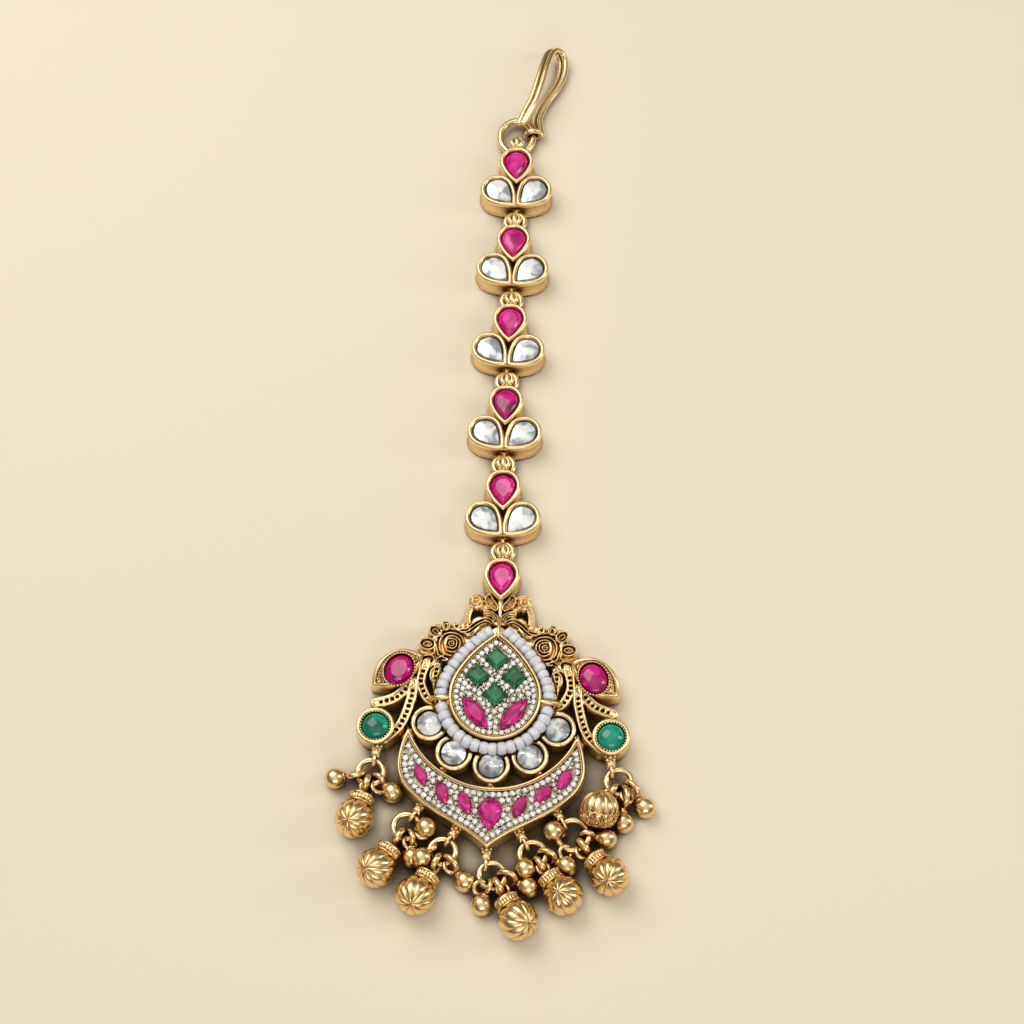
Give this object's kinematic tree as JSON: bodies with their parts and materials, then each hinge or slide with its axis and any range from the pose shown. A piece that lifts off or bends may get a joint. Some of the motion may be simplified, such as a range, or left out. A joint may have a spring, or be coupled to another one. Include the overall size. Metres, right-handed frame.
{
  "type": "maang tikka",
  "caption": "Hair jewel: doubled wire hook, chain of three-stone links, and a crescent pendant with beads, domed stones and a fringe of bells and balls.",
  "frame": {"origin": "on the flat back of the pendant, under the centre of the round end of the teardrop", "axes": "+Z out of the jewelled face, +Y along the chain from the pendant to the hook, +X to the right"},
  "size_m": [0.0505, 0.1572, 0.0073],
  "materials": {
    "gold": "antique gold plating, satin, with darker hollows",
    "ruby": "faceted magenta glass stone, foiled",
    "emerald": "faceted green glass stone, foiled",
    "green_glass": "smooth sea-green cabochon",
    "pearl": "silvery pearl-coated cabochon",
    "crystal": "small clear foiled stones in a metal field",
    "seed_bead": "opaque white glass seed beads"
  },
  "bodies": {
    "root": {"hook": "gold", "hook_ring": "gold", "pendant_frame": "gold", "chain_link_1": "gold", "chain_ring_1": "gold", "pearl_1": "pearl", "chain_link_2": "gold", "chain_ring_2": "gold", "pearl_2": "pearl", "chain_link_3": "gold", "chain_ring_3": "gold", "pearl_3": "pearl", "chain_link_4": "gold", "chain_ring_4": "gold", "pearl_4": "pearl", "chain_link_5": "gold", "chain_ring_5": "gold", "pearl_5": "pearl", "drop_ring_1": "gold", "bell_1": "gold", "ball_1_a": "gold", "ball_1_b": "gold", "drop_ring_2": "gold", "bell_2": "gold", "ball_2_a": "gold", "ball_2_b": "gold", "drop_ring_3": "gold", "bell_3": "gold", "ball_3_a": "gold", "ball_3_b": "gold", "drop_ring_4": "gold", "bell_4": "gold", "ball_4_a": "gold", "ball_4_b": "gold", "drop_ring_5": "gold", "bell_5": "gold", "ball_5_a": "gold", "ball_5_b": "gold", "drop_ring_6": "gold", "bell_6": "gold", "ball_6_a": "gold", "ball_6_b": "gold", "drop_ring_7": "gold", "bell_7": "gold", "ball_7_a": "gold", "ball_7_b": "gold", "top_ruby": "ruby", "side_ruby_left": "ruby", "side_ruby_right": "ruby", "marquise_left": "ruby", "marquise_right": "ruby", "green_cabochon_left": "green_glass", "green_cabochon_right": "green_glass", "teardrop_pave": "crystal", "crescent_pave": "crystal", "seed_bead_string": "seed_bead", "emerald_1": "emerald", "emerald_2": "emerald", "emerald_3": "emerald", "emerald_4": "emerald"}
  },
  "joints": []
}
